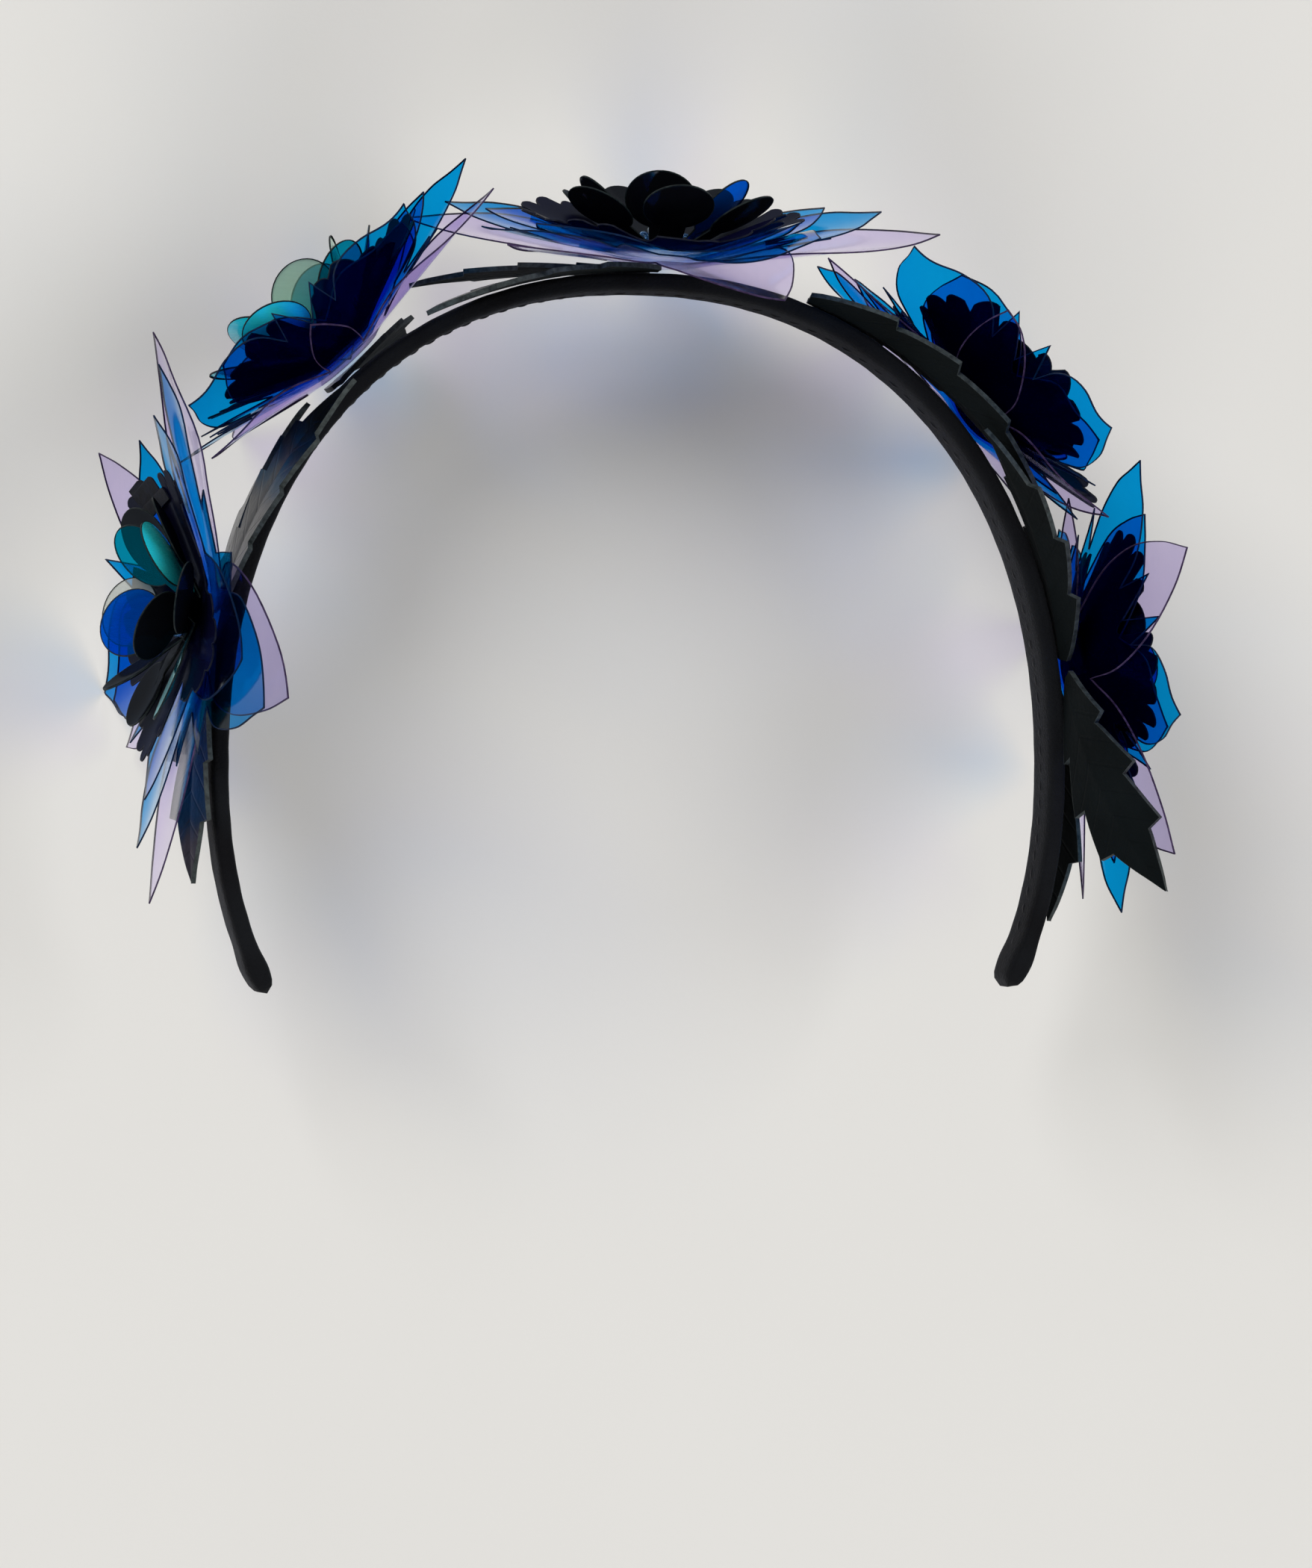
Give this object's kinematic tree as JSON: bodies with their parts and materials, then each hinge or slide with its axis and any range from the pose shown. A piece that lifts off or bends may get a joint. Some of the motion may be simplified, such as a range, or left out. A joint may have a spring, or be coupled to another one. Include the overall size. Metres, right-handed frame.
{
  "type": "flower headband",
  "caption": "Narrow black arched headband with layered translucent lilac and blue film flowers, iridescent disc rosettes with crystal centres, and black toothed leaves; lies on its back petals.",
  "frame": {"origin": "middle of the underside of the bounding box, on the floor the headband lies on", "axes": "+Z towards the front of the headband, +Y towards the crown of the arch, +X towards the right as seen from the front"},
  "size_m": [0.1908, 0.1494, 0.0935],
  "materials": {
    "band_cloth": "black velvety cloth over a stiff core",
    "leaf_leather": "black, smooth shiny top and matte underside",
    "lilac_film": "clear lilac film",
    "blue_film": "clear blue film",
    "scallop_film": "black glossy film",
    "iridescent_film": "iridescent teal to black film",
    "crystal_glass": "faceted clear stone"
  },
  "bodies": {
    "root": {"band": "band_cloth", "left_low_front_leaf": "leaf_leather", "left_low_back_leaf": "leaf_leather", "left_low_end_leaf": "leaf_leather", "left_high_back_leaf": "leaf_leather", "crown_front_leaf": "leaf_leather", "crown_back_leaf": "leaf_leather", "right_high_leaf": "leaf_leather", "right_low_upper_leaf": "leaf_leather", "right_low_front_leaf": "leaf_leather", "right_low_end_leaf": "leaf_leather", "left_low_lilac_petals": "lilac_film", "left_low_blue_petals": "blue_film", "left_low_inner_blue_petals": "blue_film", "left_low_scalloped_petals": "scallop_film", "left_low_outer_discs": "iridescent_film", "left_low_inner_discs": "iridescent_film", "left_low_crystal": "crystal_glass", "left_high_lilac_petals": "lilac_film", "left_high_blue_petals": "blue_film", "left_high_inner_blue_petals": "blue_film", "left_high_scalloped_petals": "scallop_film", "left_high_outer_discs": "iridescent_film", "left_high_inner_discs": "iridescent_film", "left_high_crystal": "crystal_glass", "crown_lilac_petals": "lilac_film", "crown_blue_petals": "blue_film", "crown_inner_blue_petals": "blue_film", "crown_scalloped_petals": "scallop_film", "crown_outer_discs": "iridescent_film", "crown_inner_discs": "iridescent_film", "crown_crystal": "crystal_glass", "right_high_lilac_petals": "lilac_film", "right_high_blue_petals": "blue_film", "right_high_inner_blue_petals": "blue_film", "right_high_scalloped_petals": "scallop_film", "right_high_outer_discs": "iridescent_film", "right_high_inner_discs": "iridescent_film", "right_high_crystal": "crystal_glass", "right_low_lilac_petals": "lilac_film", "right_low_blue_petals": "blue_film", "right_low_inner_blue_petals": "blue_film", "right_low_scalloped_petals": "scallop_film", "right_low_outer_discs": "iridescent_film", "right_low_inner_discs": "iridescent_film", "right_low_crystal": "crystal_glass"}
  },
  "joints": []
}
